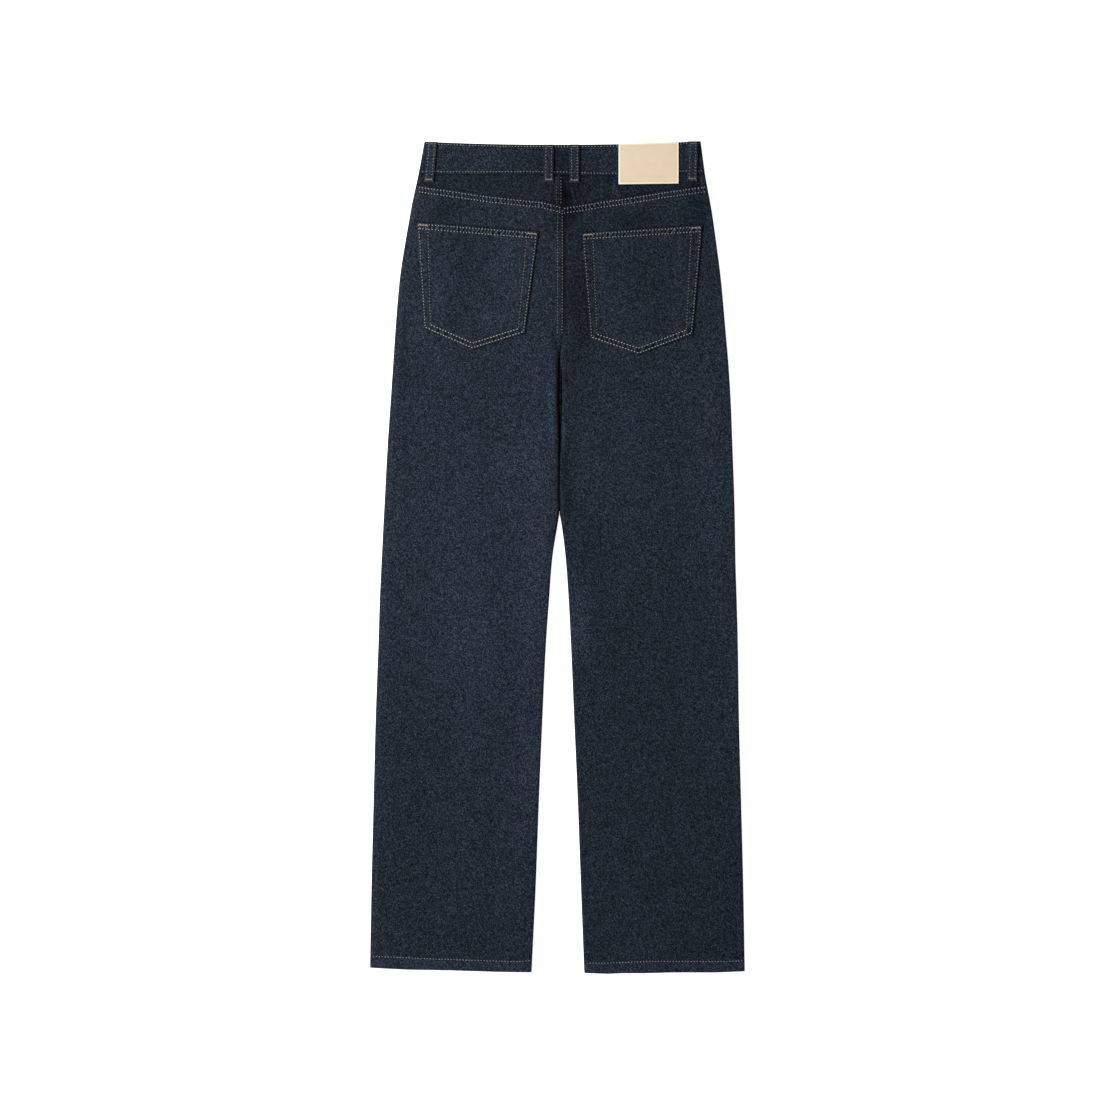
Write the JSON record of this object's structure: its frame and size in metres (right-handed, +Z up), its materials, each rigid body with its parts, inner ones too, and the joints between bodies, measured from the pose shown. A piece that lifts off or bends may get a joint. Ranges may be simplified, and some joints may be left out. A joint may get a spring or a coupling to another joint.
{
  "type": "straight leg jeans",
  "caption": "Straight leg denim jeans laid flat with the back up: yokes, patch pockets, belt loops, leather patch, waistband lapped and buttoned at the front.",
  "frame": {"origin": "bottom centre of the part's box: on the surface the jeans lie on, below the middle of their length and width", "axes": "+Z up out of the back of the jeans, +Y along the garment toward the waist, +X toward the wearer's right"},
  "size_m": [0.4867, 1.0824, 0.0122],
  "materials": {
    "denim": "dark rinsed indigo twill, matt, faint light flecks",
    "thread": "tan topstitching thread, slight sheen",
    "leather_patch": "smooth natural veg-tanned leather, pale cut edge",
    "button_metal": "aged copper-brown, satin"
  },
  "bodies": {
    "root": {"back_panel_left": "denim", "back_panel_right": "denim", "front_panel_left": "denim", "front_panel_right": "denim", "yoke_left": "denim", "yoke_right": "denim", "waistband": "denim", "back_pocket_left": "denim", "back_pocket_right": "denim", "belt_loop_back_left": "denim", "belt_loop_centre_left": "denim", "belt_loop_centre_right": "denim", "belt_loop_back_right": "denim", "belt_loop_front_left": "denim", "belt_loop_front_right": "denim", "front_pocket_facing_left": "denim", "front_pocket_facing_right": "denim", "label_patch": "leather_patch", "waist_button": "button_metal"}
  },
  "joints": []
}
